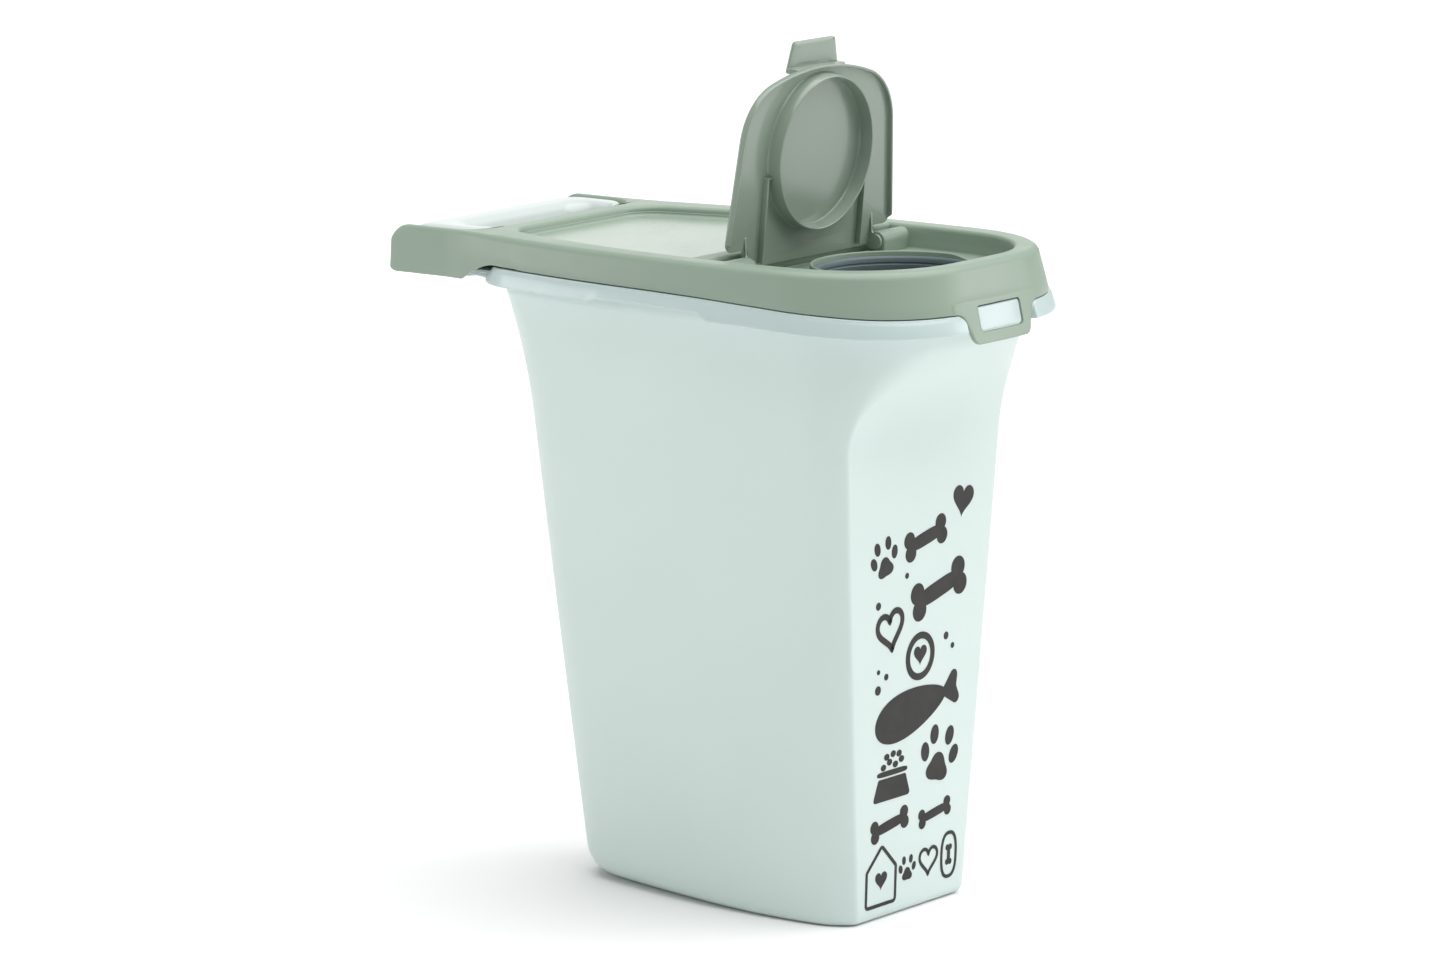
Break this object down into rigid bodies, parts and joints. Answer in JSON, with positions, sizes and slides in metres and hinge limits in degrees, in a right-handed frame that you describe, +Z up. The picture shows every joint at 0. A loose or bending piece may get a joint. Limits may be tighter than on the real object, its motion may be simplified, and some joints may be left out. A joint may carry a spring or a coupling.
{
  "type": "pet food bin",
  "caption": "Tall tapered storage bin for dry pet food, with a clip-on lid, a flip-up pouring flap with a sealed spout, a front catch and a rear carrying handle.",
  "frame": {"origin": "centre of the base, on the floor, at mid-width", "axes": "+Z up, -Y towards the front with the catch and the pouring spout, +Y towards the carrying handle, X across the width"},
  "size_m": [0.2302, 0.3929, 0.5167],
  "materials": {
    "bucket_plastic": "off-white polypropylene, satin body with a glossy rim",
    "handle_plastic": "smooth white polypropylene",
    "lid_plastic": "sage green polypropylene, fine satin grain",
    "flap_plastic": "sage green polypropylene, smooth inside",
    "seal_rubber": "soft blue-grey thermoplastic rubber"
  },
  "bodies": {
    "bin_body": {"bucket": "bucket_plastic", "carry_handle": "handle_plastic"},
    "lid_body": {"lid": "lid_plastic", "spout_seal": "seal_rubber"},
    "flap_body": {"pour_flap": "flap_plastic"},
    "catch_body": {"catch_tab": "lid_plastic"}
  },
  "joints": [
    {"name": "lid_lift", "type": "slide", "parent": "bin_body", "child": "lid_body", "axis": [0, 0, 1], "range_m": [0, 0.15]},
    {"name": "flap_hinge", "type": "hinge", "parent": "lid_body", "child": "flap_body", "pos_m": [0, -0.041, 0.3885], "axis": [1, 0, 0], "range_deg": [0, 84.5]},
    {"name": "catch_flex", "type": "hinge", "parent": "lid_body", "child": "catch_body", "pos_m": [0, -0.1742, 0.376], "axis": [-1, 0, 0], "range_deg": [0, 10], "stiffness_Nm_per_rad": 0.5}
  ]
}
